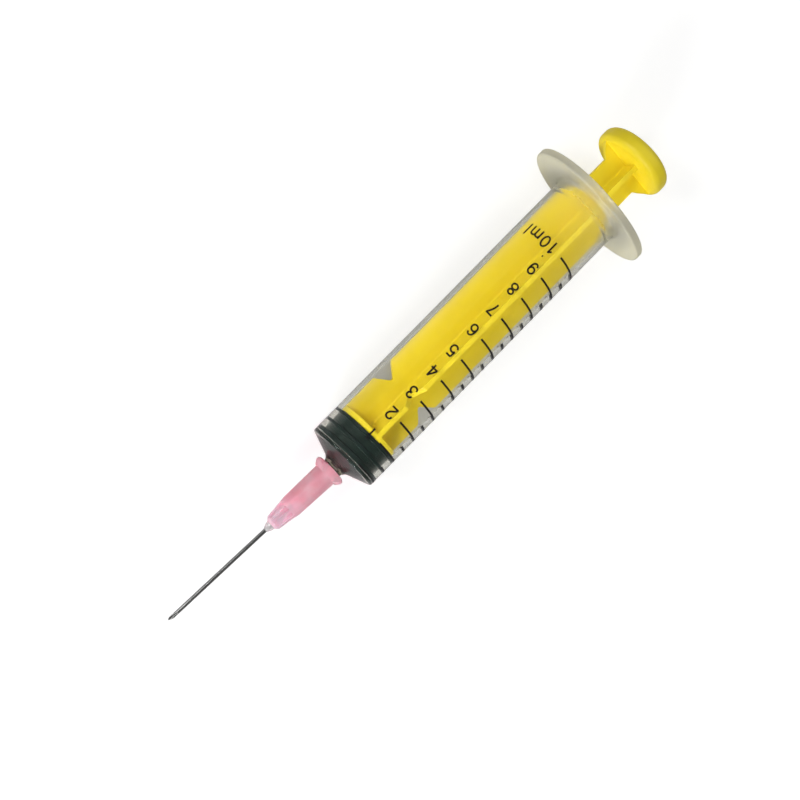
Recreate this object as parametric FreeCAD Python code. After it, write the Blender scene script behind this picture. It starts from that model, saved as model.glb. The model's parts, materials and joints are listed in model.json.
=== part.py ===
"""Ten millilitre slip tip syringe with a push-on needle, lying as it comes to rest.

Every piece is drawn on the syringe's own axis first. X runs along the barrel
from the needle to the thumb rest, and X = 0 is the zero mark of the scale.
Y runs along the long side of the finger flange and Z is up. At the end the
pieces are set down together on the floor, which is at Z = 0.
All lengths are in millimetres, all angles in degrees.
"""

import FreeCAD
import Part
import math
import os

V = FreeCAD.Vector
AXIS_X = V(1, 0, 0)
ORIGIN = V(0, 0, 0)

# Barrel tube
BORE_R = 7.285
BARREL_WALL = 0.965
BARREL_R = BORE_R + BARREL_WALL
BARREL_REAR_X = 75.8
REAR_MOUTH_CHAMFER = 0.45

# Scale and stroke: the bore alone decides how far one millilitre moves the plunger
CAPACITY_ML = 10
TRAVEL_PER_ML = 1000.0 / (math.pi * BORE_R ** 2)

# Front cone of the barrel, measured from the axis
FRONT_CORNER_X = -0.95
FRONT_CONE_ANGLE = 70.0
FRONT_WALL = 1.0
FRONT_CORNER_ROUND = 0.6

# Small raised ring inside the rear of the bore that holds the gasket back
BEAD_X = 71.4
BEAD_HEIGHT = 0.11
BEAD_HALF_WIDTH = 0.7

# Finger flange
FLANGE_HALF_LONG = 15.6
FLANGE_HALF_SHORT = 10.8
# Short flats above and below the axis cut this much off the oval and stop it rolling
FLANGE_FLAT_CUT = 0.2
FLANGE_THICKNESS = 1.9
FLANGE_EDGE_ROUND = 0.45
FLANGE_ROOT_ROUND = 0.8

# Slip tip nozzle with the standard six per cent taper
NOZZLE_ROOT_X = -3.8
NOZZLE_TIP_X = -12.8
NOZZLE_TIP_R = 1.975
TAPER_PER_MM = 0.03
NOZZLE_BORE_R = 1.05
NOZZLE_ROOT_ROUND = 1.7
NOZZLE_TIP_ROUND = 0.25
# The nozzle and all that is pushed on it stand a little off the barrel's axis
LEAN_ANGLE = 2.7

# Rubber gasket
NOSE_GAP = 0.12
NOSE_TIP_R = 0.9
SEAL_CLEARANCE = 0.02
SEAL_R = BORE_R - SEAL_CLEARANCE
GROOVE_DEPTH = 0.27
SEAL_FLANK = 0.12
FRONT_SEAL_CREST = 0.95
MIDDLE_SEAL_X = 2.85
REAR_SEAL_X = 5.55
THIN_SEAL_CREST = 0.65
GASKET_REAR_X = 6.0

# Knob on the plunger rod and the pocket for it in the gasket
KNOB_R = 4.0
KNOB_TIP_R = 2.9
KNOB_FRONT_X = 1.3
KNOB_SHOULDER_X = 2.4
KNOB_REAR_X = 3.5
STEM_R = 2.4
KNOB_CLEARANCE = 0.05

# Plunger rod
ROD_BORE_CLEARANCE = 0.2
ROD_R = BORE_R - ROD_BORE_CLEARANCE
DISC_FRONT_GAP = 0.05
DISC_THICKNESS = 1.2
DISC_EDGE_ROUND = 0.2
RIB_THICKNESS = 1.05
RIB_CORNER_ROUND = 0.5
ROD_TURN = 4.0
NOTCH_X = 17.8
NOTCH_HALF_WIDTH = 2.6
NOTCH_DEPTH = 3.2
NOTCH_CORNER_ROUND = 0.9
NOTCH_ROOT_ROUND = 0.5
NECK_R = 4.7
NECK_SLOPE_START_X = 71.0
NECK_SLOPE_END_X = 76.6

# Thumb rest at the end of the rod
THUMB_R = 8.7
THUMB_FACE_X = 86.6
THUMB_TOP_X = 90.7
THUMB_FRONT_ROUND = 1.4
THUMB_REAR_ROUND = 1.6
# The two side ribs flare out under the thumb rest along slightly bulging arcs
FLARE_START_X = 84.1
FLARE_END_X = 87.3
FLARE_END_R = 8.1
FLARE_BULGE = 0.25

# Needle hub
HUB_MOUTH_X = -4.05
LUER_FIT = 0.015
HUB_MOUTH_R = 2.68
HUB_MOUTH_CHAMFER = 0.25
LUG_R = 3.65
LUG_WIDTH = 1.85
LUG_FRONT_SLOPE = 0.95
LUG_REAR_SLOPE = 0.35
LUG_REAR_DROP = 0.5
LUG_HALF_FLAT = 2.55
COLLAR_R = 2.95
HUB_TUBE_END_X = -15.2
HUB_TUBE_END_R = 2.45
FIN_START_X = -16.3
FIN_START_R = 2.3
FIN_END_X = -20.3
FIN_END_R = 1.8
FIN_CORE_R = 1.55
FIN_THICKNESS = 0.5
FIN_COUNT = 8
HUB_NOSE_X = -21.0
HUB_NOSE_R = 1.2
LUER_SPACE = 0.8
FLOW_CONE_LENGTH = 1.6
GLUE_WELL_R = 0.9
GLUE_WELL_DEPTH = 1.3

# Steel cannula
CANNULA_R = 0.45
CANNULA_BORE_R = 0.3
CANNULA_REAR_X = -14.9
CANNULA_TIP_X = -49.4
BEVEL_LENGTH = 2.9
LANCET_LENGTH = 1.7
LANCET_TURN = 35.0

# Adhesive bead that bonds the cannula in the hub
BEAD_TIP_X = -22.6
BEAD_FOOT_R = 1.1
BEAD_TIP_R = 0.5
BEAD_BULGE = 0.12


def turned(points, arcs=None):
    """Solid of revolution about X from (x, r) corners.

    arcs gives, for a corner's number, a point that the edge leaving that
    corner passes through, which makes that edge a circular arc.
    """
    arcs = arcs or {}
    corners = [V(x, r, 0) for x, r in points]
    edges = []
    for i, start in enumerate(corners):
        end = corners[(i + 1) % len(corners)]
        if i in arcs:
            middle = V(arcs[i][0], arcs[i][1], 0)
            edges.append(Part.Arc(start, middle, end).toShape())
        else:
            edges.append(Part.LineSegment(start, end).toShape())
    face = Part.Face(Part.Wire(edges))
    return face.revolve(ORIGIN, AXIS_X, 360)


def circle_edges(shape, x, r, tolerance=0.02):
    """Edges that are circles round the axis with radius r at the place x."""
    found = []
    for edge in shape.Edges:
        if edge.Degenerated or not isinstance(edge.Curve, Part.Circle):
            continue
        centre = edge.Curve.Center
        if abs(centre.x - x) < tolerance and abs(edge.Curve.Radius - r) < tolerance:
            found.append(edge)
    return found


def front_cone_x(r, inward=0.0):
    """Place where the barrel's front cone, moved inward by a wall, has radius r."""
    slope = math.tan(math.radians(FRONT_CONE_ANGLE))
    step = inward / math.sin(math.radians(FRONT_CONE_ANGLE))
    return FRONT_CORNER_X + step - (BARREL_R - r) / slope


def nozzle_radius(x):
    """Outside radius of the tapered nozzle at the place x."""
    return NOZZLE_TIP_R + TAPER_PER_MM * (x - NOZZLE_TIP_X)


def leaned(shape):
    """Swing a piece drawn on the barrel's axis onto the nozzle's own axis."""
    shape.rotate(V(NOZZLE_ROOT_X, 0, 0), V(0, 0, 1), -LEAN_ANGLE)
    return shape


def flange_front_x():
    return BARREL_REAR_X - FLANGE_THICKNESS


def flange_flat_height():
    return FLANGE_HALF_SHORT - FLANGE_FLAT_CUT


def make_flange():
    """Oval plate with rounded edges and two short flats, its long side along Y."""
    oval = Part.Ellipse(V(flange_front_x(), FLANGE_HALF_LONG, 0),
                        V(flange_front_x(), 0, FLANGE_HALF_SHORT),
                        V(flange_front_x(), 0, 0))
    plate = Part.Face(Part.Wire(oval.toShape())).extrude(V(FLANGE_THICKNESS, 0, 0))
    half_height = flange_flat_height()
    band = Part.makeBox(FLANGE_THICKNESS, 2 * FLANGE_HALF_LONG, 2 * half_height,
                        V(flange_front_x(), -FLANGE_HALF_LONG, -half_height))
    plate = plate.common(band)
    rims = [e for e in plate.Edges if e.BoundBox.XLength < 0.001]
    return plate.makeFillet(FLANGE_EDGE_ROUND, rims)


def make_barrel_shell():
    """Tube and front cone before the bore is taken out, with the flange on."""
    root_x = front_cone_x(NOZZLE_TIP_R)
    body = turned([(root_x, 0), (root_x, NOZZLE_TIP_R), (FRONT_CORNER_X, BARREL_R),
                   (BARREL_REAR_X, BARREL_R), (BARREL_REAR_X, 0)])
    body = body.makeFillet(FRONT_CORNER_ROUND,
                           circle_edges(body, FRONT_CORNER_X, BARREL_R))
    body = body.fuse(make_flange()).removeSplitter()
    root = circle_edges(body, flange_front_x(), BARREL_R)
    return body.makeFillet(FLANGE_ROOT_ROUND, root)


def make_nozzle():
    """Tapered nozzle without its bore, running back into the front cone."""
    back_x = front_cone_x(BARREL_R * 0.5)
    nozzle = turned([(NOZZLE_TIP_X, 0), (NOZZLE_TIP_X, NOZZLE_TIP_R),
                     (back_x, nozzle_radius(back_x)), (back_x, 0)])
    nozzle = nozzle.makeFillet(NOZZLE_TIP_ROUND,
                               circle_edges(nozzle, NOZZLE_TIP_X, NOZZLE_TIP_R))
    return leaned(nozzle)


def make_bore():
    """The space inside the barrel, with the retaining bead left standing."""
    front = front_cone_x(NOZZLE_BORE_R, FRONT_WALL)
    corner = front_cone_x(BORE_R, FRONT_WALL)
    mouth = BARREL_REAR_X - REAR_MOUTH_CHAMFER
    space = turned([(front, 0), (front, NOZZLE_BORE_R), (corner, BORE_R),
                    (BEAD_X - BEAD_HALF_WIDTH, BORE_R), (BEAD_X + BEAD_HALF_WIDTH, BORE_R),
                    (mouth, BORE_R), (BARREL_REAR_X, BORE_R + REAR_MOUTH_CHAMFER),
                    (BARREL_REAR_X + 1, BORE_R + REAR_MOUTH_CHAMFER),
                    (BARREL_REAR_X + 1, 0)],
                   arcs={3: (BEAD_X, BORE_R - BEAD_HEIGHT)})
    return space


def make_nozzle_bore():
    """Drilling through the nozzle, along its leaning axis."""
    back_x = front_cone_x(NOZZLE_BORE_R * 1.5, FRONT_WALL)
    drill = Part.makeCylinder(NOZZLE_BORE_R, back_x - NOZZLE_TIP_X + 1,
                              V(NOZZLE_TIP_X - 1, 0, 0), AXIS_X)
    return leaned(drill)


def make_barrel():
    """Clear moulding: tube, front cone, slip tip nozzle and finger flange."""
    body = make_barrel_shell().fuse(make_nozzle())
    root = [e for e in body.Edges if is_nozzle_root(e)]
    body = body.makeFillet(NOZZLE_ROOT_ROUND, root)
    return body.cut(make_bore().fuse(make_nozzle_bore()))


def is_nozzle_root(edge):
    """True for the edge where the nozzle comes out of the front cone."""
    box = edge.BoundBox
    near = front_cone_x(nozzle_radius(NOZZLE_ROOT_X))
    size = 2 * nozzle_radius(near)
    round_all = abs(box.YLength - size) < 0.4 and abs(box.ZLength - size) < 0.4
    return round_all and abs(box.Center.x - near) < 0.4


def seal_points(centre_x, crest):
    """Four corners of one sealing ring, from front to rear."""
    groove_r = SEAL_R - GROOVE_DEPTH
    half = crest / 2
    return [(centre_x - half - SEAL_FLANK, groove_r), (centre_x - half, SEAL_R),
            (centre_x + half, SEAL_R), (centre_x + half + SEAL_FLANK, groove_r)]


def make_gasket():
    """Rubber gasket: a cone that fits the barrel's front, and three sealing rings."""
    inward = FRONT_WALL + NOSE_GAP
    groove_r = SEAL_R - GROOVE_DEPTH
    nose_x = front_cone_x(NOSE_TIP_R, inward)
    seal_x = front_cone_x(SEAL_R, inward)
    crest_end = seal_x + FRONT_SEAL_CREST
    outline = [(nose_x, 0), (nose_x, NOSE_TIP_R), (seal_x, SEAL_R), (crest_end, SEAL_R),
               (crest_end + SEAL_FLANK, groove_r)]
    outline += seal_points(MIDDLE_SEAL_X, THIN_SEAL_CREST)
    outline += seal_points(REAR_SEAL_X, THIN_SEAL_CREST)
    outline += [(GASKET_REAR_X, groove_r), (GASKET_REAR_X, 0)]
    return turned(outline).cut(make_knob(KNOB_CLEARANCE))


def make_knob(extra=0.0):
    """Mushroom knob and stem of the rod, or the pocket for them when made larger."""
    rear_x = GASKET_REAR_X + DISC_FRONT_GAP
    return turned([(KNOB_FRONT_X - extra, 0), (KNOB_FRONT_X - extra, KNOB_TIP_R + extra),
                   (KNOB_SHOULDER_X, KNOB_R + extra), (KNOB_REAR_X + extra, KNOB_R + extra),
                   (KNOB_REAR_X + extra, STEM_R + extra), (rear_x, STEM_R + extra),
                   (rear_x, 0)])


def disc_rear_x():
    return GASKET_REAR_X + DISC_FRONT_GAP + DISC_THICKNESS


def make_blade():
    """One flat web through the axis: two opposite ribs with their notches."""
    start = disc_rear_x() - DISC_THICKNESS / 2
    stop = THUMB_FACE_X + 1
    upper = [(start, ROD_R), (NOTCH_X - NOTCH_HALF_WIDTH, ROD_R),
             (NOTCH_X, ROD_R - NOTCH_DEPTH), (NOTCH_X + NOTCH_HALF_WIDTH, ROD_R),
             (NECK_SLOPE_START_X, ROD_R), (NECK_SLOPE_END_X, NECK_R), (stop, NECK_R)]
    lower = [(x, -r) for x, r in reversed(upper)]
    corners = [V(x, r, -RIB_THICKNESS / 2) for x, r in upper + lower]
    face = Part.Face(Part.makePolygon(corners + corners[:1]))
    blade = face.extrude(V(0, 0, RIB_THICKNESS))
    shoulders = [e for e in blade.Edges if is_notch_edge(e, NOTCH_HALF_WIDTH, ROD_R)]
    blade = blade.makeFillet(NOTCH_CORNER_ROUND, shoulders)
    roots = [e for e in blade.Edges if is_notch_edge(e, 0, ROD_R - NOTCH_DEPTH)]
    return blade.makeFillet(NOTCH_ROOT_ROUND, roots)


def is_notch_edge(edge, off_centre, r):
    """True for an edge across the rib that far from the notch's middle and the axis."""
    box = edge.BoundBox
    across = box.ZLength > RIB_THICKNESS * 0.9 and box.XLength < 0.01
    beside = abs(abs(box.Center.x - NOTCH_X) - off_centre) < 0.01
    return across and beside and abs(abs(box.Center.y) - r) < 0.01


def make_ribs():
    """Four ribs in a cross, with small rounds in the inner corners."""
    blade = make_blade()
    crossed = make_blade()
    crossed.rotate(ORIGIN, AXIS_X, 90)
    cross = blade.fuse(crossed).removeSplitter()
    inner = [e for e in cross.Edges if is_inner_corner(e)]
    return cross.makeFillet(RIB_CORNER_ROUND, inner)


def is_inner_corner(edge):
    """True for the long edges where two ribs meet beside the axis."""
    box = edge.BoundBox
    beside = abs(abs(box.Center.y) - RIB_THICKNESS / 2) + abs(abs(box.Center.z) - RIB_THICKNESS / 2)
    return box.XLength > 10 and box.YLength < 0.01 and beside < 0.01


def make_thumb_rest():
    """Thick round plate with a well rounded rim and a flat top."""
    head = turned([(THUMB_FACE_X, 0), (THUMB_FACE_X, THUMB_R), (THUMB_TOP_X, THUMB_R),
                   (THUMB_TOP_X, 0)])
    head = head.makeFillet(THUMB_FRONT_ROUND, circle_edges(head, THUMB_FACE_X, THUMB_R))
    return head.makeFillet(THUMB_REAR_ROUND, circle_edges(head, THUMB_TOP_X, THUMB_R))


def flare_arc(side):
    """Outer edge of one flared rib as an arc, on the side given by 1 or -1."""
    start = V(FLARE_START_X, side * NECK_R, -RIB_THICKNESS / 2)
    end = V(FLARE_END_X, side * FLARE_END_R, -RIB_THICKNESS / 2)
    run = end - start
    outward = V(-side * run.y, side * run.x, 0).normalize()
    middle = (start + end) * 0.5 + outward * FLARE_BULGE
    return start, end, Part.Arc(start, middle, end).toShape()


def make_flares():
    """Flat plate that widens the two side ribs until they meet the thumb rest."""
    left_start, left_end, left = flare_arc(1)
    right_start, right_end, right = flare_arc(-1)
    across = Part.LineSegment(right_start, left_start).toShape()
    under = Part.LineSegment(left_end, right_end).toShape()
    outline = Part.Wire([across, left, under, right])
    return Part.Face(outline).extrude(V(0, 0, RIB_THICKNESS))


def make_plunger_rod():
    """Coloured one-piece moulding: knob, disc, four notched ribs and thumb rest."""
    front = GASKET_REAR_X + DISC_FRONT_GAP
    disc = Part.makeCylinder(ROD_R, DISC_THICKNESS, V(front, 0, 0), AXIS_X)
    rims = circle_edges(disc, front, ROD_R) + circle_edges(disc, disc_rear_x(), ROD_R)
    disc = disc.makeFillet(DISC_EDGE_ROUND, rims)
    ribs = make_ribs().fuse(make_flares()).removeSplitter()
    rod = ribs.fuse([disc, make_knob(), make_thumb_rest()]).removeSplitter()
    rod.rotate(ORIGIN, AXIS_X, ROD_TURN)
    return rod


def make_lugs():
    """Two opposite lugs: a ring with sloping sides, cut back to flats above and below."""
    front = HUB_MOUTH_X - LUG_WIDTH
    ring = turned([(front, 0), (front, COLLAR_R), (front + LUG_FRONT_SLOPE, LUG_R),
                   (HUB_MOUTH_X - LUG_REAR_SLOPE, LUG_R),
                   (HUB_MOUTH_X, LUG_R - LUG_REAR_DROP), (HUB_MOUTH_X, 0)])
    slab = Part.makeBox(LUG_WIDTH, 2 * LUG_R, 2 * LUG_HALF_FLAT,
                        V(front, -LUG_R, -LUG_HALF_FLAT))
    collar = Part.makeCylinder(COLLAR_R, LUG_WIDTH, V(front, 0, 0), AXIS_X)
    return ring.common(slab).fuse(collar)


def make_fins():
    """Grip fins round the narrow front of the hub, tapering towards its nose."""
    length = FIN_START_X - FIN_END_X
    fin = Part.makeBox(length, FIN_START_R, FIN_THICKNESS, V(FIN_END_X, 0, -FIN_THICKNESS / 2))
    taper = turned([(FIN_END_X, 0), (FIN_END_X, FIN_END_R), (FIN_START_X, FIN_START_R),
                    (FIN_START_X, 0)])
    fin = fin.common(taper)
    fins = []
    for i in range(FIN_COUNT):
        turned_fin = fin.copy()
        turned_fin.rotate(ORIGIN, AXIS_X, i * 360.0 / FIN_COUNT)
        fins.append(turned_fin)
    return fins


def make_needle_hub():
    """Coloured hub: lugs and luer socket behind, finned nose in front."""
    outside = turned([(HUB_NOSE_X, 0), (HUB_NOSE_X, HUB_NOSE_R), (FIN_END_X, FIN_END_R),
                      (FIN_END_X, FIN_CORE_R), (FIN_START_X, FIN_CORE_R),
                      (FIN_START_X, FIN_START_R), (HUB_TUBE_END_X, HUB_TUBE_END_R),
                      (HUB_MOUTH_X, HUB_MOUTH_R), (HUB_MOUTH_X, 0)])
    hub = outside.fuse(make_fins() + [make_lugs()])
    socket_end = NOZZLE_TIP_X - LUER_SPACE
    mouth_r = nozzle_radius(HUB_MOUTH_X) + LUER_FIT
    socket = turned([(socket_end - FLOW_CONE_LENGTH, 0),
                     (socket_end - FLOW_CONE_LENGTH, CANNULA_R),
                     (socket_end, nozzle_radius(NOZZLE_TIP_X)),
                     (socket_end, nozzle_radius(socket_end) + LUER_FIT),
                     (HUB_MOUTH_X - HUB_MOUTH_CHAMFER, mouth_r),
                     (HUB_MOUTH_X, mouth_r + HUB_MOUTH_CHAMFER), (HUB_MOUTH_X, 0)])
    return leaned(hub.cut([socket, make_cannula_stock(), make_glue_well()]))


def make_glue_well():
    """Hollow in the hub's nose that the adhesive fills."""
    well_end = HUB_NOSE_X + GLUE_WELL_DEPTH
    return turned([(HUB_NOSE_X, 0), (HUB_NOSE_X, GLUE_WELL_R), (well_end, CANNULA_R),
                   (well_end, 0)])


def make_cannula_stock():
    """The cannula as a plain rod, from inside the hub to its far end."""
    return Part.makeCylinder(CANNULA_R, CANNULA_REAR_X - CANNULA_TIP_X,
                             V(CANNULA_TIP_X, 0, 0), AXIS_X)


def bevel_cutter(length, turn):
    """Block that grinds the point at the slope of one diameter in the length."""
    angle = math.degrees(math.atan2(2 * CANNULA_R, length))
    size = 6 * CANNULA_R
    block = Part.makeBox(length + size, 2 * size, size, V(-size, -size, 0))
    block.rotate(ORIGIN, V(0, 1, 0), -angle)
    block.translate(V(CANNULA_TIP_X, 0, -CANNULA_R))
    block.rotate(V(CANNULA_TIP_X, 0, 0), AXIS_X, turn)
    return block


def make_cannula():
    """Steel tube with a long bevel on top and two lancet faces at the point."""
    tube = make_cannula_stock()
    bore = Part.makeCylinder(CANNULA_BORE_R, CANNULA_REAR_X - CANNULA_TIP_X + 2,
                             V(CANNULA_TIP_X - 1, 0, 0), AXIS_X)
    tube = tube.cut([bore, bevel_cutter(BEVEL_LENGTH, 0)])
    tube = tube.cut([bevel_cutter(LANCET_LENGTH, LANCET_TURN),
                     bevel_cutter(LANCET_LENGTH, -LANCET_TURN)])
    return leaned(tube)


def make_cannula_adhesive():
    """Cured bead: it fills the hub's well and climbs a short way up the cannula."""
    middle = ((HUB_NOSE_X + BEAD_TIP_X) / 2, (BEAD_FOOT_R + BEAD_TIP_R) / 2 + BEAD_BULGE)
    bead = turned([(BEAD_TIP_X, 0), (BEAD_TIP_X, BEAD_TIP_R), (HUB_NOSE_X, BEAD_FOOT_R),
                   (HUB_NOSE_X, 0)], arcs={1: middle})
    return leaned(bead.fuse(make_glue_well()).cut(make_cannula_stock()))


def resting_tilt():
    """Angle of the axis when the front corner and the flange both touch the floor."""
    front_x, front_r = front_round_centre()
    rear_x = flange_front_x() + FLANGE_EDGE_ROUND
    rear_r = flange_flat_height() - FLANGE_EDGE_ROUND
    distance = math.hypot(rear_x - front_x, rear_r - front_r)
    slope = math.atan2(rear_r - front_r, rear_x - front_x)
    return slope + math.asin((FLANGE_EDGE_ROUND - FRONT_CORNER_ROUND) / distance)


def front_round_centre():
    """Centre, as place and radius, of the round between the tube and its front cone."""
    reach = FRONT_CORNER_ROUND * math.tan(math.radians(FRONT_CONE_ANGLE / 2))
    return FRONT_CORNER_X + reach, BARREL_R - FRONT_CORNER_ROUND


def set_down(shapes):
    """Tilt all pieces nose down, lift them onto the floor and centre them over it."""
    tilt = resting_tilt()
    front_x, front_r = front_round_centre()
    lift = front_r * math.cos(tilt) + FRONT_CORNER_ROUND - front_x * math.sin(tilt)
    for shape in shapes:
        shape.rotate(ORIGIN, V(0, 1, 0), -math.degrees(tilt))
        shape.translate(V(0, 0, lift))
    box = Part.makeCompound(shapes).optimalBoundingBox()
    for shape in shapes:
        shape.translate(V(-box.Center.x, -box.Center.y, 0))


def main():
    pieces = {
        "barrel": make_barrel(),
        "gasket": make_gasket(),
        "plunger_rod": make_plunger_rod(),
        "needle_hub": make_needle_hub(),
        "cannula": make_cannula(),
        "cannula_adhesive": make_cannula_adhesive(),
    }
    set_down(list(pieces.values()))
    os.makedirs("parts", exist_ok=True)
    for name, shape in pieces.items():
        solid = shape.Solids[0]
        solid.exportStep(os.path.join("parts", name + ".step"))
        print(name, len(shape.Solids), "solid", len(solid.Faces), "faces",
              round(solid.Volume, 2), "mm3", "valid", solid.isValid())


main()
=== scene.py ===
"""Looks of a ten millilitre slip tip syringe with its needle, drawn round its solids.

Each piece is drawn in millimetres on the syringe's own axis: X runs from the
needle to the thumb rest with X = 0 at the zero mark, Y runs along the long
side of the finger flange and Z is up. laid_down() then puts it where the
syringe lies, in metres.
"""

import json
import math

import bmesh
import bpy
import numpy as np
from mathutils import Matrix, Vector


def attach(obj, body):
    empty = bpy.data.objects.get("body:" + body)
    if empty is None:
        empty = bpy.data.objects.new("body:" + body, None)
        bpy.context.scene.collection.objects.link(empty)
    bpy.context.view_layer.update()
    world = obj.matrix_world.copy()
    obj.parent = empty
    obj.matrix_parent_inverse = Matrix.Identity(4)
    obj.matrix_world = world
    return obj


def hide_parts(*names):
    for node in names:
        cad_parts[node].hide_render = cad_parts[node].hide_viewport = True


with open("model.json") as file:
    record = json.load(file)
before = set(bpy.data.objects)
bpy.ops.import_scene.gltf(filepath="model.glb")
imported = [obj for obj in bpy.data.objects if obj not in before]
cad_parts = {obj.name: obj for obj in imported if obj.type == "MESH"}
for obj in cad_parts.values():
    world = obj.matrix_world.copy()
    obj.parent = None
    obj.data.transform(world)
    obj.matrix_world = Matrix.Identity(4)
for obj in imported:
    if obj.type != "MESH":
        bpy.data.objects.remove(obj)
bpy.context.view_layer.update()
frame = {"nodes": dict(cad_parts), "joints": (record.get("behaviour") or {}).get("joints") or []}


# Barrel. One clear polypropylene moulding that holds all the rest: tube, steep front
# cone, leaning slip nozzle, oval finger flange and a low bead in the rear of the bore.
# It is clear at the front and grows milky towards the flange, where it is thickest.

# Tube, and front cone with a wall of one millimetre
BORE_R = 7.285
BARREL_R = 8.25
BARREL_REAR = 75.8
CONE_CORNER = -0.95
CORNER_ROUND = 0.6
CONE_STEEPNESS = math.radians(70.0)
CONE_SLOPE = math.tan(CONE_STEEPNESS)
CONE_WALL = 1.0 / math.sin(CONE_STEEPNESS)
CONE_BORE_ROUND = 0.15

# Nozzle, which leans towards +Y
NOZZLE_ROOT = -3.8
NOZZLE_FOOT = -3.1
NOZZLE_TIP = -12.8
NOZZLE_TIP_R = 1.975
NOZZLE_TAPER = 0.03
NOZZLE_BORE_R = 1.05
NOZZLE_BORE_ROUND = 0.1
FOOT_ROUND = 1.7
TIP_ROUND = 0.25
LEAN = math.radians(2.7)
LEAN_FROM = -2.6
LEAN_OVER = 1.6

# Finger flange
FLANGE_LONG = 15.6
FLANGE_SHORT = 10.8
FLANGE_FLAT = 10.6
FLANGE_FRONT = 73.9
FLANGE_EDGE = 0.45
FLANGE_FACE_R = 10.0
FLANGE_ROUND = 0.8

# Mouth and bead
MOUTH_FACE = 0.6
MOUTH_CHAMFER = 0.45
MOUTH_ROUND = 0.12
BEAD_REAR = 72.1
BEAD_LONG = 1.4
BEAD_HIGH = 0.11
BESIDE_BEAD = 0.1

# Rows and columns of the skin
NEAR_EDGE = 0.05
LONGEST_ROW = 2.0
BARREL_COLUMNS = 192

# Milky share, by place along the barrel and by distance from its axis
MILKY_PLACES = [-2.5, -0.5, 0, 45, 60, 70, 75]
MILKY_ALONG = [0.015, 0.01, 0, 0, 0.01, 0.04, 0.12]
MILKY_RADII = [8.35, 9.5, 10.7, 12.0]
MILKY_OUTWARD = [0, 0.08, 0.17, 0.5]

# Colours of the plastic
CLEAR_COLOUR = (0.97, 0.965, 0.94)
MILKY_COLOUR = (0.98, 0.94, 0.73)
GLOSS_COLOUR = (0.35, 0.42, 0.4)
LIGHT_THROUGH_WALL = (0.98, 0.98, 0.96)
COLOUR_IN_DEPTH = (0.627, 0.615, 0.48)

# The syringe's axes where it lies; the rod turns about a point behind the zero mark
TURN_PLACE = 2.4
turn = next(joint for joint in frame["joints"] if joint["name"] == "rod_turn")
AXIS = np.array(turn["axis"])
AXIS /= np.linalg.norm(AXIS)
UPWARD = np.array([-AXIS[2], 0.0, AXIS[0]])
SIDEWAYS = np.array([0.0, 1.0, 0.0])
ZERO_MARK = np.array(turn["pos_m"]) - AXIS * TURN_PLACE / 1000


def laid_down(points):
    """Millimetres on the syringe's axis to metres where it lies: the zero mark plus X
    along the resting axis, Y across it and Z upward from it."""
    points = np.asarray(points, float)
    resting_axes = np.stack([AXIS, SIDEWAYS, UPWARD])
    return ZERO_MARK + points @ resting_axes / 1000


def leaned(points, share):
    """Turns points about the nozzle's root by the lean times share, so that a point in
    front of the root swings towards +Y."""
    angle = LEAN * share
    x = points[..., 0] - NOZZLE_ROOT
    y = points[..., 1]
    swung = points.copy()
    swung[..., 0] = NOZZLE_ROOT + x * np.cos(angle) + y * np.sin(angle)
    swung[..., 1] = y * np.cos(angle) - x * np.sin(angle)
    return swung


def lean_share(x):
    """Share of the lean at x: none behind its start, all of it LEAN_OVER further on."""
    return np.clip((LEAN_FROM - x) / LEAN_OVER, 0, 1)


def rounded(corners, steps):
    """Profile through corners given as (x, r, round). Each corner becomes the tangent arc
    of its round, written as the quadratic rational curve with the cosine of half the turn
    as its middle weight, and a straight run gets one more row close to each end."""
    places = np.array([corner[:2] for corner in corners], float)
    rows = [places[0]]
    for i in range(1, len(corners) - 1):
        back = places[i - 1] - places[i]
        ahead = places[i + 1] - places[i]
        back /= np.linalg.norm(back)
        ahead /= np.linalg.norm(ahead)
        half_turn = (math.pi - math.acos(np.clip(back @ ahead, -1, 1))) / 2
        reach = corners[i][2] * math.tan(half_turn)
        start = places[i] + back * reach
        end = places[i] + ahead * reach
        s = np.linspace(0, 1, steps + 1)[:, None]
        weight = 2 * s * (1 - s) * math.cos(half_turn)
        arc = (1 - s) ** 2 * start + weight * places[i] + s ** 2 * end
        arc /= (1 - s) ** 2 + weight + s ** 2
        margin = min(reach, 0.1) * 0.5
        rows += [start + back * margin, *arc, end + ahead * margin]
    rows.append(places[-1])
    return np.array(rows)


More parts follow.
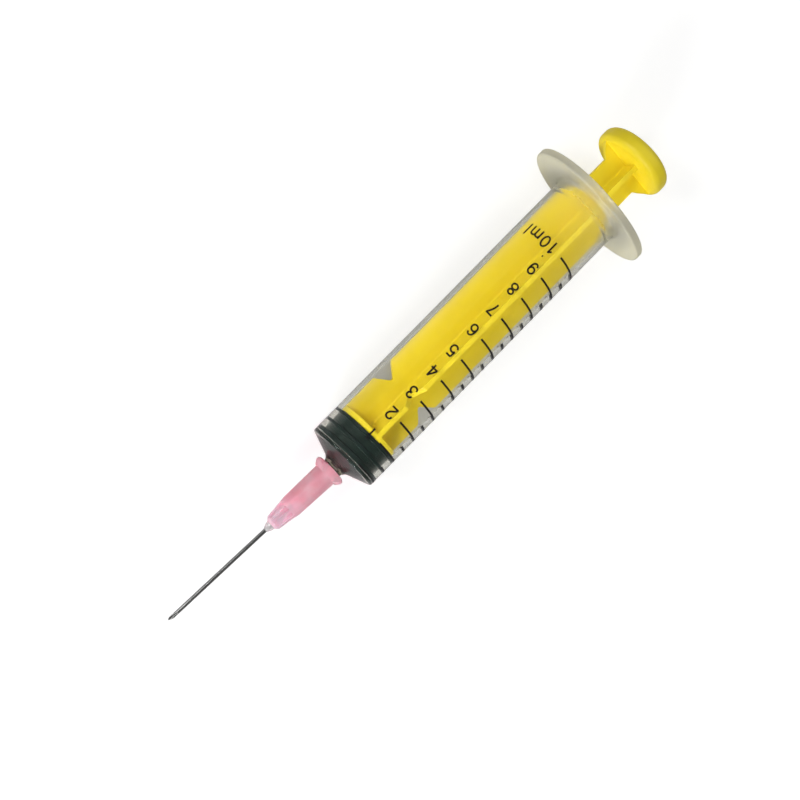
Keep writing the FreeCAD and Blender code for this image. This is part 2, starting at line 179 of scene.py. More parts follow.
def closed_skin(name, grid, ends):
    """Mesh over a grid of points, rows by columns, whose columns close on themselves.
    ends is "joined" when the last row meets the first, and "capped" when the middle of
    the first and last rows is a point with a fan of triangles round it."""
    rows, columns = grid.shape[:2]
    points = grid.reshape(-1, 3)
    row = np.arange(rows if ends == "joined" else rows - 1)[:, None]
    column = np.arange(columns)[None, :]
    ahead = (row + 1) % rows
    beside = (column + 1) % columns
    quads = np.stack([row * columns + column, row * columns + beside,
                      ahead * columns + beside, ahead * columns + column], -1).reshape(-1, 4)
    fans = np.zeros((0, 3), int)
    if ends == "capped":
        middles = np.stack([grid[0].mean(0), grid[-1].mean(0)])
        around = np.arange(columns)
        after = (around + 1) % columns
        last = (rows - 1) * columns
        front = np.stack([np.full(columns, len(points)), after, around], -1)
        rear = np.stack([np.full(columns, len(points) + 1), last + around, last + after], -1)
        fans = np.concatenate([front, rear])
        points = np.concatenate([points, middles])
    mesh = bpy.data.meshes.new(name)
    mesh.vertices.add(len(points))
    mesh.vertices.foreach_set("co", points.astype(np.float32).ravel())
    corners = np.concatenate([quads.ravel(), fans.ravel()]).astype(np.int32)
    mesh.loops.add(len(corners))
    mesh.loops.foreach_set("vertex_index", corners)
    starts = np.concatenate([np.arange(len(quads)) * 4,
                             len(quads) * 4 + np.arange(len(fans)) * 3]).astype(np.int32)
    mesh.polygons.add(len(starts))
    mesh.polygons.foreach_set("loop_start", starts)
    mesh.polygons.foreach_set("use_smooth", np.ones(len(starts), bool))
    mesh.update(calc_edges=True)
    mesh.validate()
    piece = bpy.data.objects.new(name, mesh)
    bpy.context.scene.collection.objects.link(piece)
    return piece


def ring_of(rows, columns):
    """Rings round the axis from rows of (x, half width along Y, half height along Z,
    inset, lean share): an oval drawn inward by the inset along its own normal, and cut to
    the flange's flats above and below, drawn inward as far."""
    around = np.linspace(0, 2 * math.pi, columns, endpoint=False)
    x, wide, high, inset, lean = (rows[:, i][:, None] for i in range(5))
    c, s = np.cos(around)[None, :], np.sin(around)[None, :]
    normal_y, normal_z = high * c, wide * s
    length = np.hypot(normal_y, normal_z) + 1e-12
    y = wide * c - inset * normal_y / length
    flat = FLANGE_FLAT - inset
    z = np.clip(high * s - inset * normal_z / length, -flat, flat)
    return leaned(np.stack([x + 0 * y, y, z], -1), lean + 0 * y)


def round_rows(profile, lean=0.0):
    """Rows of plain circles from an (x, r) profile, all with one lean share."""
    rows = np.zeros((len(profile), 5))
    rows[:, 0] = profile[:, 0]
    rows[:, 1] = rows[:, 2] = profile[:, 1]
    rows[:, 4] = lean
    return rows


def cone_place(r, inward=0.0):
    """Place along the axis where the front cone, moved inward, has radius r."""
    return CONE_CORNER + inward * CONE_WALL - (BARREL_R - r) / CONE_SLOPE


def nozzle_r(x):
    """Radius of the nozzle at x: that of its tip plus the taper times the way back."""
    return NOZZLE_TIP_R + NOZZLE_TAPER * (x - NOZZLE_TIP)


def flange_rows():
    """Rows round the flange's edge: a quarter circle from its front face out to the rim
    and another back to its rear face, each face with one more row close to the edge."""
    quarter = np.linspace(0, math.pi / 2, 7)
    forward = FLANGE_EDGE * (1 - np.cos(quarter))
    inset = FLANGE_EDGE * (1 - np.sin(quarter))
    edge = np.zeros((2 * len(quarter), 5))
    edge[:, 0] = np.concatenate([FLANGE_FRONT + forward, BARREL_REAR - forward[::-1]])
    edge[:, 1] = FLANGE_LONG
    edge[:, 2] = FLANGE_SHORT
    edge[:, 3] = np.concatenate([inset, inset[::-1]])
    faces = edge[[0, -1]].copy()
    faces[:, 3] += NEAR_EDGE
    return np.concatenate([faces[:1], edge, faces[1:]])


def bore_rows():
    """Rows from the rear face through the mouth's chamfer, over the bead, which is half a
    sine wave, and along the bore and the front cone's inside into the nozzle's bore."""
    mouth = [(BARREL_REAR, BORE_R + MOUTH_FACE, 0),
             (BARREL_REAR, BORE_R + MOUTH_CHAMFER, MOUTH_ROUND),
             (BARREL_REAR - MOUTH_CHAMFER, BORE_R, MOUTH_ROUND),
             (BEAD_REAR + BESIDE_BEAD, BORE_R, 0)]
    wave = np.linspace(0, math.pi, 9)
    bead = np.stack([BEAD_REAR - BEAD_LONG * wave / math.pi,
                     BORE_R - BEAD_HIGH * np.sin(wave)], -1)
    front = [(BEAD_REAR - BEAD_LONG - BESIDE_BEAD, BORE_R, 0),
             (cone_place(BORE_R, 1.0), BORE_R, CONE_BORE_ROUND),
             (cone_place(NOZZLE_BORE_R, 1.0), NOZZLE_BORE_R, NOZZLE_BORE_ROUND),
             (LEAN_FROM - LEAN_OVER, NOZZLE_BORE_R, 0)]
    rows = round_rows(np.concatenate([rounded(mouth, 3), bead, rounded(front, 4)]))
    rows[:, 4] = lean_share(rows[:, 0])
    return rows


def barrel_rows():
    """Rows from the nozzle's tip back over the outside, round the flange, and forward
    through the bore to the tip again."""
    root = cone_place(nozzle_r(NOZZLE_FOOT))
    outside = rounded([(NOZZLE_TIP, NOZZLE_BORE_R, 0), (NOZZLE_TIP, NOZZLE_TIP_R, TIP_ROUND),
                       (root, nozzle_r(root), FOOT_ROUND), (CONE_CORNER, BARREL_R, CORNER_ROUND),
                       (FLANGE_FRONT, BARREL_R, FLANGE_ROUND),
                       (FLANGE_FRONT, FLANGE_FACE_R, 0)], 9)
    outer = round_rows(outside[:-1])
    outer[:, 4] = lean_share(outer[:, 0])
    tip = round_rows(np.array([[NOZZLE_TIP + NEAR_EDGE, NOZZLE_BORE_R]]), 1.0)
    return np.concatenate([outer, flange_rows(), bore_rows(), tip])


def with_rows(rows, step):
    """Rows with more of them put in evenly, so that gaps are no wider than about step."""
    gaps = np.hypot(*np.diff(rows[:, :2], axis=0).T)
    pieces = []
    for start, end, gap in zip(rows[:-1], rows[1:], gaps):
        share = np.linspace(0, 1, max(1, int(gap / step)), endpoint=False)[:, None]
        pieces.append(start + (end - start) * share)
    return np.concatenate(pieces + [rows[-1:]])


def finish_named(name):
    """New material with its Principled shader, as (material, node tree, shader)."""
    material = bpy.data.materials.new(name)
    material.use_nodes = True
    tree = material.node_tree
    return material, tree, tree.nodes["Principled BSDF"]


def grain(tree, scale, detail, stretch=(1, 1, 1)):
    """Noise over the piece's own place, with scale grains to the metre."""
    place = tree.nodes.new("ShaderNodeTexCoord")
    mapping = tree.nodes.new("ShaderNodeMapping")
    mapping.inputs["Scale"].default_value = stretch
    noise = tree.nodes.new("ShaderNodeTexNoise")
    noise.inputs["Scale"].default_value = scale
    noise.inputs["Detail"].default_value = detail
    tree.links.new(place.outputs["Object"], mapping.inputs["Vector"])
    tree.links.new(mapping.outputs["Vector"], noise.inputs["Vector"])
    return noise.outputs["Fac"]


def spread(tree, source, low, high, start=0.3, stop=0.7):
    """Straight-line change of source, from start to stop, into low to high."""
    change = tree.nodes.new("ShaderNodeMapRange")
    change.inputs["From Min"].default_value = start
    change.inputs["From Max"].default_value = stop
    change.inputs["To Min"].default_value = low
    change.inputs["To Max"].default_value = high
    tree.links.new(source, change.inputs["Value"])
    return change.outputs["Result"]


def blend_colours(tree, share, first, second):
    """Colour between first and second by share, each a colour or a socket."""
    mix = tree.nodes.new("ShaderNodeMix")
    mix.data_type = "RGBA"
    tree.links.new(share, mix.inputs["Factor"])
    for socket, colour in zip(mix.inputs[6:8], (first, second)):
        if hasattr(colour, "links"):
            tree.links.new(colour, socket)
        else:
            socket.default_value = (*colour, 1)
    return mix.outputs[2]


def roughen(tree, shader, source, depth):
    """Surface relief of that depth in metres, read from source."""
    bump = tree.nodes.new("ShaderNodeBump")
    bump.inputs["Distance"].default_value = depth
    tree.links.new(source, bump.inputs["Height"])
    tree.links.new(bump.outputs["Normal"], shader.inputs["Normal"])


def let_lamps_through(tree, shader, tint):
    """Rays from the lamps pass the wall with a tint, so that they reach what is inside."""
    path = tree.nodes.new("ShaderNodeLightPath")
    clear = tree.nodes.new("ShaderNodeBsdfTransparent")
    clear.inputs["Color"].default_value = (*tint, 1)
    mix = tree.nodes.new("ShaderNodeMixShader")
    output = tree.nodes["Material Output"]
    tree.links.new(path.outputs["Is Shadow Ray"], mix.inputs[0])
    tree.links.new(shader.outputs[0], mix.inputs[1])
    tree.links.new(clear.outputs[0], mix.inputs[2])
    tree.links.new(mix.outputs[0], output.inputs["Surface"])


def clear_polypropylene():
    """Clear plastic whose milky share grows with the piece's haze attribute, with faint
    clouds in what is milky and shallow flow waves all along."""
    material, tree, shader = finish_named("clear_polypropylene")
    haze = tree.nodes.new("ShaderNodeAttribute")
    haze.attribute_name = "haze"
    mottled = tree.nodes.new("ShaderNodeMath")
    mottled.operation = "MULTIPLY"
    tree.links.new(haze.outputs["Fac"], mottled.inputs[0])
    tree.links.new(spread(tree, grain(tree, 260, 4), 0.85, 1.15), mottled.inputs[1])
    milky = mottled.outputs[0]
    colour = blend_colours(tree, milky, CLEAR_COLOUR, MILKY_COLOUR)
    tree.links.new(colour, shader.inputs["Base Color"])
    tree.links.new(spread(tree, milky, 1.0, 0.35, 0, 1), shader.inputs["Transmission Weight"])
    tree.links.new(spread(tree, milky, 0.03, 0.4, 0, 0.1), shader.inputs["Roughness"])
    shader.inputs["IOR"].default_value = 1.49
    shader.inputs["Specular Tint"].default_value = (*GLOSS_COLOUR, 1)
    roughen(tree, shader, grain(tree, 300, 2, (0.3, 1.0, 1.0)), 0.0000015)
    let_lamps_through(tree, shader, LIGHT_THROUGH_WALL)
    depth = tree.nodes.new("ShaderNodeVolumeAbsorption")
    depth.inputs["Color"].default_value = (*COLOUR_IN_DEPTH, 1)
    depth.inputs["Density"].default_value = 210.0
    tree.links.new(depth.outputs["Volume"], tree.nodes["Material Output"].inputs["Volume"])
    return material


skin = ring_of(with_rows(barrel_rows(), LONGEST_ROW), BARREL_COLUMNS)
barrel = closed_skin("clear_barrel", laid_down(skin), "joined")
milkiness = np.interp(skin[..., 0], MILKY_PLACES, MILKY_ALONG)
milkiness += np.interp(np.hypot(skin[..., 1], skin[..., 2]), MILKY_RADII, MILKY_OUTWARD)
haze = barrel.data.attributes.new("haze", "FLOAT", "POINT")
haze.data.foreach_set("value", milkiness.astype(np.float32).ravel())
barrel.data.materials.append(clear_polypropylene())
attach(barrel, "barrel")
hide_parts("barrel")


# Scale. Black ink printed on the outside of the barrel: a long line at each
# millilitre, a short one halfway, numbers beside them with the unit at the last, and a
# small dot. The ink is a film of two hundredths of a millimetre that grips the wall.

MILLILITRES = 10
MILLILITRE = 1000 / (math.pi * BORE_R ** 2)
INK_UNDER = BARREL_R - 0.004
INK_TOP = BARREL_R + 0.016
INK_EDGE = INK_TOP - 0.004
INK_COLOURS = (0.004, 0.004, 0.005), (0.014, 0.013, 0.014)

# Lines, whose ends are in degrees round the barrel from its top towards +Y
LINE_WIDE = 0.45
LONG_LINE_FROM = -10.0
SHORT_LINE_FROM = -45.5
LINE_TO = -87.0

# Numbers and dot, placed round the barrel in millimetres from its top
NUMBER_PLACE = math.radians(8.4) * BARREL_R
NUMBER_HIGH = 2.9
STROKE_WIDE = 0.4
LAST_NUMBER = (("1", 0.0), ("0", 2.1), ("m", 4.85), ("l", 7.1))
DOT_PLACE = 57.3
DOT_BESIDE = 0.4


def smooth_line(points):
    """Curve through all points: between two of them the cubic whose slope at each is half
    the step between its neighbours."""
    points = np.array(points, float)
    padded = np.concatenate([[2 * points[0] - points[1]], points, [2 * points[-1] - points[-2]]])
    s = np.linspace(0, 1, 10, endpoint=False)[:, None]
    a, b, c, d = padded[:-3, None], padded[1:-2, None], padded[2:-1, None], padded[3:, None]
    cubic = 0.5 * (2 * b + (c - a) * s + (2 * a - 5 * b + 4 * c - d) * s ** 2
                   + (3 * b - a - 3 * c + d) * s ** 3)
    return np.concatenate([cubic.reshape(-1, 2), points[-1:]])


def oval_line(x, y, wide, high):
    """Oval about (x, y) with these half sizes."""
    angle = np.linspace(0, 2 * math.pi, 33)
    return np.stack([x + wide * np.cos(angle), y + high * np.sin(angle)], -1)


def straight_line(start, end):
    """Straight run between two points, cut into short steps."""
    start, end = np.array(start, float), np.array(end, float)
    return start + (end - start) * np.linspace(0, 1, 8)[:, None]


def strokes_of(sign):
    """Pen strokes of a number or unit letter: x to the right, y up, one unit high."""
    half = STROKE_WIDE / NUMBER_HIGH / 2
    low, top = half, 1 - half
    six = [oval_line(0, 0.32, 0.23, 0.32 - half),
           smooth_line([(-0.23, 0.33), (-0.225, 0.55), (-0.16, 0.82), (0.0, top),
                        (0.14, 0.89), (0.21, 0.76)])]
    shapes = {
        "0": [oval_line(0, 0.5, 0.24, 0.5 - half)],
        "1": [straight_line((0.05, 0), (0.05, 1)), straight_line((0.05, 0.95), (-0.15, 0.74))],
        "2": [smooth_line([(-0.23, 0.69), (-0.17, 0.86), (0.0, top), (0.18, 0.86), (0.23, 0.7),
                           (0.15, 0.5), (-0.05, 0.31), (-0.19, 0.17), (-0.24, low)]),
              straight_line((-0.29, low), (0.27, low))],
        "3": [smooth_line([(-0.22, 0.75), (-0.15, 0.88), (0.0, top), (0.15, 0.87), (0.2, 0.74),
                           (0.14, 0.6), (-0.04, 0.54)]),
              smooth_line([(-0.04, 0.54), (0.15, 0.48), (0.24, 0.3), (0.17, 0.13), (0.0, low),
                           (-0.16, 0.13), (-0.24, 0.28)])],
        "4": [straight_line((0.1, 0), (0.1, 0.97)), straight_line((0.1, 0.94), (-0.25, 0.3)),
              straight_line((-0.29, 0.27), (0.28, 0.27))],
        "5": [straight_line((0.22, top), (-0.18, top)), straight_line((-0.16, top), (-0.21, 0.48)),
              smooth_line([(-0.21, 0.49), (-0.08, 0.59), (0.07, 0.59), (0.2, 0.49), (0.24, 0.33),
                           (0.18, 0.15), (0.03, low), (-0.14, 0.1), (-0.24, 0.23)])],
        "6": six,
        "7": [straight_line((-0.26, top), (0.27, top)),
              smooth_line([(0.24, top), (0.1, 0.68), (-0.03, 0.36), (-0.08, 0)])],
        "8": [oval_line(0, 0.75, 0.2, 0.25 - half), oval_line(0, 0.28, 0.235, 0.28 - half)],
        "9": [np.array([0, 1]) - stroke for stroke in six],
        "m": [straight_line((-0.38, 0), (-0.38, 0.74)),
              smooth_line([(-0.38, 0.5), (-0.3, 0.64), (-0.17, 0.67), (-0.04, 0.6),
                           (0.0, 0.46), (0.0, 0.2), (0.0, 0)]),
              smooth_line([(0.0, 0.5), (0.08, 0.64), (0.21, 0.67), (0.34, 0.6),
                           (0.38, 0.46), (0.38, 0.2), (0.38, 0)])],
        "l": [straight_line((0, 0), (0, 1))],
        ".": [straight_line((-0.05, 0.5), (0.05, 0.5))],
    }
    return shapes[sign]


def arc_line(place, first, last):
    """Line round the barrel at one place along it, between two angles in degrees."""
    round_way = np.radians(np.linspace(first, last, 40)) * BARREL_R
    return np.stack([np.full(40, place), round_way], -1)


def ink_film(name, path, wide):
    """Ink stroke as a closed film: the path is (millimetres along the axis, millimetres
    round the barrel from the top towards +Y), widened both ways across its own run and
    wrapped on the wall, with an underside that grips it."""
    path = path[np.concatenate([[True], np.hypot(*np.diff(path, axis=0).T) > 1e-6])]
    run = np.gradient(path, axis=0)
    run /= np.hypot(*run.T)[:, None]
    across = np.stack([-run[:, 1], run[:, 0]], -1) * wide / 2
    side = np.array([-1, -0.5, 0, 0.5, 1, 1, 0.5, 0, -0.5, -1])
    radius = np.array([INK_EDGE, INK_TOP, INK_TOP, INK_TOP, INK_EDGE] + [INK_UNDER] * 5)
    flat = path[:, None, :] + side[None, :, None] * across[:, None, :]
    angle = flat[..., 1] / BARREL_R
    film = np.stack([flat[..., 0], radius * np.sin(angle), radius * np.cos(angle)], -1)
    return closed_skin(name, laid_down(film), "capped")


def one_piece(name, films):
    """Joins the films into one printed piece that rides on the barrel."""
    with bpy.context.temp_override(active_object=films[0], selected_editable_objects=films):
        bpy.ops.object.join()
    joined = films[0]
    joined.name = name
    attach(joined, "barrel")
    return joined


def outward(piece):
    """Turns every face of a piece outwards."""
    shell = bmesh.new()
    shell.from_mesh(piece.data)
    bmesh.ops.recalc_face_normals(shell, faces=shell.faces)
    shell.to_mesh(piece.data)
    shell.free()


def printing_ink():
    """Black ink with a faint unevenness in its blackness, gloss and height."""
    material, tree, shader = finish_named("printing_ink")
    patch = grain(tree, 1600, 4)
    tree.links.new(blend_colours(tree, patch, *INK_COLOURS), shader.inputs["Base Color"])
    tree.links.new(spread(tree, patch, 0.38, 0.6), shader.inputs["Roughness"])
    shader.inputs["Specular IOR Level"].default_value = 0.2
    roughen(tree, shader, grain(tree, 5000, 2), 0.000003)
    return material


lines = []
for half in range(2 * MILLILITRES + 1):
    begin = SHORT_LINE_FROM if half % 2 else LONG_LINE_FROM
    lines.append(ink_film("line", arc_line(half * MILLILITRE / 2, begin, LINE_TO), LINE_WIDE))
signs = [(str(count), count * MILLILITRE, 0.0) for count in range(1, MILLILITRES)]
signs += [(sign, MILLILITRES * MILLILITRE, beside) for sign, beside in LAST_NUMBER]
signs += [(".", DOT_PLACE, DOT_BESIDE)]
numbers = []
for sign, place, beside in signs:
    for stroke in strokes_of(sign):
        path = np.stack([place - (stroke[:, 1] - 0.5) * NUMBER_HIGH,
                         NUMBER_PLACE + beside + stroke[:, 0] * NUMBER_HIGH], -1)
        numbers.append(ink_film("sign", path, STROKE_WIDE))
ink = printing_ink()
for name, films in (("scale_lines", lines), ("scale_numbers", numbers)):
    printed = one_piece(name, films)
    outward(printed)
    printed.data.materials.append(ink)


# Gasket. Black siliconed rubber, moulded in one: a cone that fits the front of the
# barrel, one wide and two thin sealing rings, and a pocket that snaps over the rod's
# knob. The rings press on the bore, so they show black through the wall to its edge.

# Cone, as a share of the wall that it lies inside: at 1 it would only touch
PRESSED_CONE = 0.994
NOSE_R = 1.3
NOSE_FLAT_R = 0.9
NOSE_STEP = 0.12
NOSE_ROUND = 0.1
CONE_END_R = 6.75
CONE_END_ROUND = 0.15

# Sealing rings
SEAL_R = BORE_R + 0.006
GROOVE_R = 6.995
RING_SLOPE = 0.12
RING_ROUND = 0.05
FRONT_RING_GAP = 0.22
FRONT_RING_WIDE = 0.9
THIN_RINGS = (2.85, 5.55)
THIN_RING_HALF = 0.325
REAR_ROUND = 0.02

# Rear face and pocket, as (place, radius)
GASKET_REAR = 6.0
POCKET_END = 1.25
POCKET = ((GASKET_REAR, 2.45), (3.55, 2.45), (3.55, 4.05), (2.4, 4.05), (POCKET_END, 2.95))
POCKET_ROUND = 0.1
SMALLEST_R = 0.02
GASKET_COLUMNS = 160

RUBBER_COLOURS = (0.006, 0.013, 0.012), (0.015, 0.029, 0.027)


def gasket_rows():
    """Rows from the nose over the rings to the rear face and into the knob's pocket."""
    nose = cone_place(NOSE_R, PRESSED_CONE)
    ring = cone_place(SEAL_R, PRESSED_CONE) + FRONT_RING_GAP
    ring_end = ring + FRONT_RING_WIDE
    corners = [(nose + NOSE_STEP, 0.0, 0), (nose + NOSE_STEP, NOSE_FLAT_R, NOSE_ROUND),
               (nose, NOSE_R, NOSE_ROUND),
               (cone_place(CONE_END_R, PRESSED_CONE), CONE_END_R, CONE_END_ROUND),
               (ring, SEAL_R, RING_ROUND), (ring_end, SEAL_R, RING_ROUND),
               (ring_end + RING_SLOPE, GROOVE_R, RING_ROUND)]
    for middle in THIN_RINGS:
        foot = THIN_RING_HALF + RING_SLOPE
        corners += [(middle - foot, GROOVE_R, RING_ROUND),
                    (middle - THIN_RING_HALF, SEAL_R, RING_ROUND),
                    (middle + THIN_RING_HALF, SEAL_R, RING_ROUND),
                    (middle + foot, GROOVE_R, REAR_ROUND)]
    corners += [(GASKET_REAR, GROOVE_R, REAR_ROUND)]
    corners += [(x, r, POCKET_ROUND) for x, r in POCKET]
    corners += [(POCKET_END, 0.0, 0)]
    profile = rounded(corners, 4)
    profile[[0, -1], 1] = SMALLEST_R
    return round_rows(profile)


def black_rubber():
    """Smooth moulded rubber, slightly dusty, with a soft sheen of silicone oil."""
    material, tree, shader = finish_named("black_rubber")
    dust = grain(tree, 500, 5)
    tree.links.new(blend_colours(tree, dust, *RUBBER_COLOURS), shader.inputs["Base Color"])
    tree.links.new(spread(tree, dust, 0.28, 0.5), shader.inputs["Roughness"])
    shader.inputs["Specular IOR Level"].default_value = 0.18
    roughen(tree, shader, grain(tree, 1500, 3), 0.000003)
    return material


skin = ring_of(gasket_rows(), GASKET_COLUMNS)
gasket = closed_skin("rubber_gasket", laid_down(skin), "capped")
gasket.data.materials.append(black_rubber())
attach(gasket, "gasket")
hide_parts("gasket")


# Plunger rod. One yellow polypropylene moulding with a satin face: disc behind the
# gasket, four notched ribs in a cross, neck and mushroom thumb rest. Its knob snaps
# into the gasket. A little light gets into the plastic and softens its thin edges.

YELLOW_COLOURS = (0.86, 0.685, 0.022), (0.91, 0.73, 0.035)
YELLOW_DEPTHS = (0.9, 0.8, 0.2)


def yellow_polypropylene():
    """Satin yellow plastic with faint flow clouds and a fine mould grain."""
    material, tree, shader = finish_named("yellow_polypropylene")
    flow = spread(tree, grain(tree, 70, 4, (1.0, 2.2, 2.2)), 0, 1)
    tree.links.new(blend_colours(tree, flow, *YELLOW_COLOURS), shader.inputs["Base Color"])
    tree.links.new(spread(tree, grain(tree, 900, 3), 0.36, 0.5), shader.inputs["Roughness"])
    shader.inputs["Specular IOR Level"].default_value = 0.25
    shader.inputs["Subsurface Weight"].default_value = 0.15
    shader.inputs["Subsurface Radius"].default_value = YELLOW_DEPTHS
    shader.inputs["Subsurface Scale"].default_value = 0.0008
    roughen(tree, shader, grain(tree, 3000, 2), 0.000008)
    return material


def painted(node, material):
    """Gives a piece that keeps its solid's shape the finish of the real one."""
    for slot in frame["nodes"][node].material_slots:
        slot.material = material


painted("plunger_rod", yellow_polypropylene())


# Needle hub. Pink translucent polypropylene, pushed onto the nozzle: two lugs round
# the mouth, a tapering tube, and a nose with fins. A paler pink is painted on the nose
# and blends into the full pink behind it: painted light that lifts the shade in the fin
# grooves and stands in for how the nozzle inside deepens the pink along the tube.

TUBE_COLOURS = (0.89, 0.43, 0.51), (0.985, 0.65, 0.72)
# The nose colours are a paler pink painted on the front of the hub: painted light that lifts the
# shade in its fin grooves.
PAINTED_LIGHT_NOSE_COLOURS = (0.93, 0.62, 0.72), (0.97, 0.74, 0.84)
PAINTED_PALE_NOSE_TO = -18.5
FULL_PINK_FROM = -13.5
PINK_DEPTHS = (1.0, 0.6, 0.7)
LIGHT_THROUGH_HUB = (0.9, 0.6, 0.68)


def along_axis(tree, first, last):
    """Share from 0 to 1 between two places along the axis: the dot product of the point
    and the axis, stretched between its values at the two."""
    place = tree.nodes.new("ShaderNodeTexCoord")
    dot = tree.nodes.new("ShaderNodeVectorMath")
    dot.operation = "DOT_PRODUCT"
    dot.inputs[1].default_value = AXIS
    tree.links.new(place.outputs["Object"], dot.inputs[0])
    begin, stop = (laid_down([x, 0, 0]) @ AXIS for x in (first, last))
    return spread(tree, dot.outputs["Value"], 0, 1, begin, stop)


def pink_polypropylene():
    """Milky pink plastic that passes part of the light, blurred, with a paler pink painted on the
    nose as painted light.
    """
    material, tree, shader = finish_named("pink_polypropylene")
    cloud = grain(tree, 320, 5)
    share = spread(tree, cloud, 0, 1)
    tube = blend_colours(tree, share, *TUBE_COLOURS)
    nose = blend_colours(tree, share, *PAINTED_LIGHT_NOSE_COLOURS)
    # Painted light: the nose is painted a paler pink that blends into the full pink behind the
    # fins.
    colour = blend_colours(tree, along_axis(tree, PAINTED_PALE_NOSE_TO, FULL_PINK_FROM), nose, tube)
    tree.links.new(colour, shader.inputs["Base Color"])
    tree.links.new(spread(tree, cloud, 0.3, 0.42), shader.inputs["Roughness"])
    shader.inputs["IOR"].default_value = 1.49
    shader.inputs["Transmission Weight"].default_value = 0.4
    shader.inputs["Subsurface Weight"].default_value = 0.8
    shader.inputs["Subsurface Radius"].default_value = PINK_DEPTHS
    shader.inputs["Subsurface Scale"].default_value = 0.0025
    roughen(tree, shader, grain(tree, 2500, 3), 0.00001)
    let_lamps_through(tree, shader, LIGHT_THROUGH_HUB)
    return material


painted("needle_hub", pink_polypropylene())


# Cannula. Drawn stainless steel tube, polished, with a point ground at a slant. Its
# rear end sits in the nose of the hub, where the adhesive holds it.

# Steel colours darker than bright stainless steel: painted shade, a painted dark reflection.
STEEL_WITH_PAINTED_SHADE = (0.24, 0.24, 0.235), (0.34, 0.34, 0.335)


def drawn_steel():
    """Steel with fine drawing lines along the tube, darker than bright steel: painted shade for the
    dark surroundings that it reflects.
    """
    material, tree, shader = finish_named("drawn_steel")
    drawn = grain(tree, 900, 3, (0.05, 6.0, 6.0))
    tree.links.new(blend_colours(tree, drawn, *STEEL_WITH_PAINTED_SHADE), shader.inputs["Base Color"])
    shader.inputs["Metallic"].default_value = 1.0
    tree.links.new(spread(tree, drawn, 0.18, 0.3), shader.inputs["Roughness"])
    roughen(tree, shader, drawn, 0.000003)
    return material


painted("cannula", drawn_steel())


# Adhesive. Clear resin, poured into the well in the hub's nose and cured there. It
# bonds the cannula and is drawn a little way up it.

RESIN_COLOURS = (0.92, 0.89, 0.90), (0.97, 0.96, 0.96)
LIGHT_THROUGH_RESIN = (0.95, 0.93, 0.93)


def cured_resin():
    """Glossy, slightly cloudy resin."""
    material, tree, shader = finish_named("cured_resin")
    cloud = grain(tree, 900, 3)
    tree.links.new(blend_colours(tree, cloud, *RESIN_COLOURS), shader.inputs["Base Color"])
    tree.links.new(spread(tree, cloud, 0.08, 0.16), shader.inputs["Roughness"])
    shader.inputs["IOR"].default_value = 1.5
    shader.inputs["Transmission Weight"].default_value = 0.6
    let_lamps_through(tree, shader, LIGHT_THROUGH_RESIN)
    return material


painted("cannula_adhesive", cured_resin())


# Table. A plain white round table that sweeps up into a low wall all round it, like
# the paper behind a photographed object. It is the floor that the syringe lies on.

TABLE_R = 1.1
COVE_R = 0.3
WALL_TOP = 1.1
TABLE_THICK = 0.02
MIDDLE_R = 0.02
TABLE_COLOURS = (0.60, 0.60, 0.60), (0.62, 0.62, 0.62)
GLOW_TO_CAMERA = 0.62
GLOW_IN_GLOSS = 0.15


def white_table():
    """Pale floor. Its own light makes up what its colour lacks of white for the camera,
    and a share of it for what shows in gloss and clear plastic; the shadow stays."""
    material, tree, shader = finish_named("white_table")
    patch = grain(tree, 14, 3)
    tree.links.new(blend_colours(tree, patch, *TABLE_COLOURS), shader.inputs["Base Color"])
    shader.inputs["Roughness"].default_value = 0.9
    path = tree.nodes.new("ShaderNodeLightPath")
    seen = tree.nodes.new("ShaderNodeMath")
    seen.operation = "MAXIMUM"
    tree.links.new(path.outputs["Is Glossy Ray"], seen.inputs[0])
    tree.links.new(path.outputs["Is Transmission Ray"], seen.inputs[1])
    to_camera = spread(tree, path.outputs["Is Camera Ray"], 0, GLOW_TO_CAMERA, 0, 1)
    glow = tree.nodes.new("ShaderNodeMath")
    glow.operation = "MULTIPLY_ADD"
    tree.links.new(seen.outputs[0], glow.inputs[0])
    glow.inputs[1].default_value = GLOW_IN_GLOSS
    tree.links.new(to_camera, glow.inputs[2])
    shader.inputs["Emission Color"].default_value = (1, 1, 1, 1)
    tree.links.new(glow.outputs[0], shader.inputs["Emission Strength"])
    return material


def table_and_wall():
    """Grid of a round table that sweeps up, by a quarter circle, into a low wall round
    it: from the middle of its underside over the wall's top to the middle of the top."""
    sweep = np.linspace(math.pi / 2, 0, 13)
    cove = np.stack([TABLE_R + COVE_R * np.sin(sweep), COVE_R * (1 - np.cos(sweep))], -1)
    wall = TABLE_R + COVE_R
    outer = wall + TABLE_THICK
    outside = [[MIDDLE_R, -TABLE_THICK], [outer, -TABLE_THICK], [outer, WALL_TOP], [wall, WALL_TOP]]
    profile = np.concatenate([outside, cove, [[MIDDLE_R, 0]]])
    around = np.linspace(0, 2 * math.pi, 96, endpoint=False)
    return np.stack([profile[:, :1] * np.cos(around), profile[:, :1] * np.sin(around),
                     profile[:, 1:] + 0 * around], -1)


table = closed_skin("table", table_and_wall(), "capped")
table.data.materials.append(white_table())


# Light. A bright soft lamp beyond the needle on the +Y side, a low narrow one in front
# that lights the faces turned to the needle, a weak one behind the thumb rest, and a
# little even light from all round.

LAMP_AWAY = 0.5
EVEN_LIGHT = 0.2

scene = bpy.context.scene


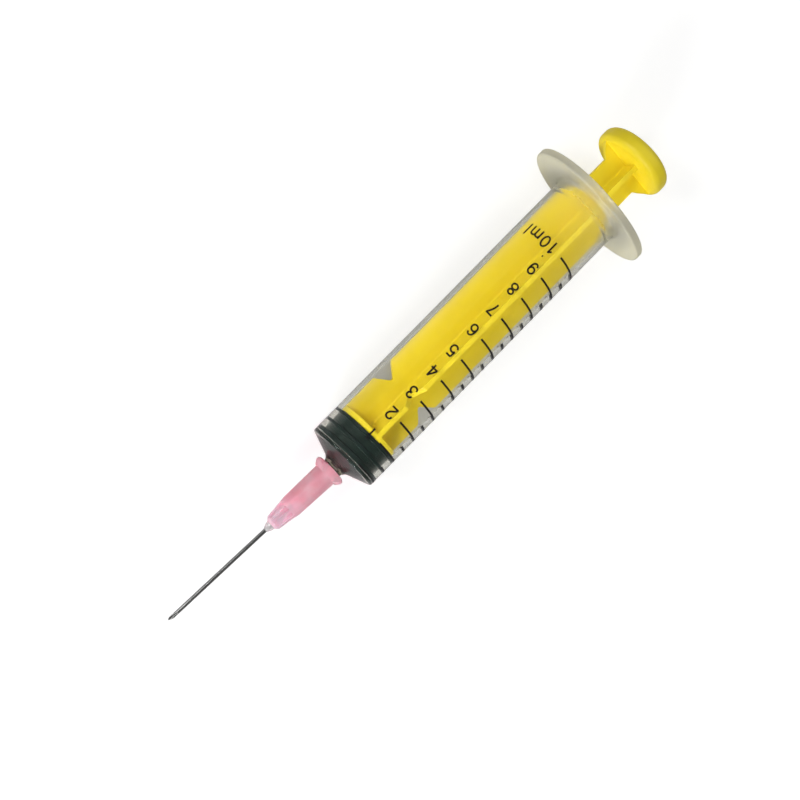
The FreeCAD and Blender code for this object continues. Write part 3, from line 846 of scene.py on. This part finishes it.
def soft_box(name, way, wide, high, power):
    """Flat lamp at the lamps' distance along a direction, facing the table's middle."""
    data = bpy.data.lights.new(name, "AREA")
    data.shape = "RECTANGLE"
    data.size = wide
    data.size_y = high
    data.energy = power
    lamp = bpy.data.objects.new(name, data)
    scene.collection.objects.link(lamp)
    towards = Vector(way).normalized()
    lamp.location = towards * LAMP_AWAY
    lamp.rotation_mode = "QUATERNION"
    lamp.rotation_quaternion = towards.to_track_quat("Z", "Y")


soft_box("key_light", (-0.63, 1.0, 1.0), 0.2, 0.2, 1.08)
soft_box("front_light", (-0.9, -0.28, 0.5), 0.22, 0.07, 1.4)
soft_box("rear_light", (0.8, -0.2, 0.65), 0.4, 0.3, 0.6)

world = bpy.data.worlds.new("even_light")
world.use_nodes = True
background = world.node_tree.nodes["Background"]
background.inputs["Color"].default_value = (1, 1, 1, 1)
background.inputs["Strength"].default_value = EVEN_LIGHT
scene.world = world


# Camera. It stands where the photograph was taken from, a quarter of a metre above the
# barrel and a little on the +Y side, with a long lens. Its turns, and the place of the
# zero mark as it sees it, are in radians and millimetres of the syringe's own axes.

CAMERA_TURNS = ((0.7959, "Z"), (0.1236, "Y"), (0.2451, "X"))
ZERO_MARK_SEEN = (-11.3623, -11.3164, -271.6522)
SENSOR_WIDE = 36.0
PICTURE_WIDE_PIXELS = 800
LENS_PIXELS = 1309.33

turns = [Matrix.Rotation(angle, 3, way) for angle, way in CAMERA_TURNS]
facing = (turns[0] @ turns[1] @ turns[2]).transposed()
stand = -(facing @ Vector(ZERO_MARK_SEEN))
axes = Matrix((AXIS, SIDEWAYS, UPWARD)).transposed()
camera_data = bpy.data.cameras.new("camera")
camera_data.sensor_width = SENSOR_WIDE
camera_data.lens = SENSOR_WIDE * LENS_PIXELS / PICTURE_WIDE_PIXELS
camera_data.clip_start = 0.01
camera_data.clip_end = 10.0
camera = bpy.data.objects.new("camera", camera_data)
scene.collection.objects.link(camera)
camera.location = Vector(laid_down(np.array(stand)))
camera.rotation_mode = "QUATERNION"
camera.rotation_quaternion = (axes @ facing).to_quaternion()
scene.camera = camera
scene.view_settings.view_transform = "Standard"
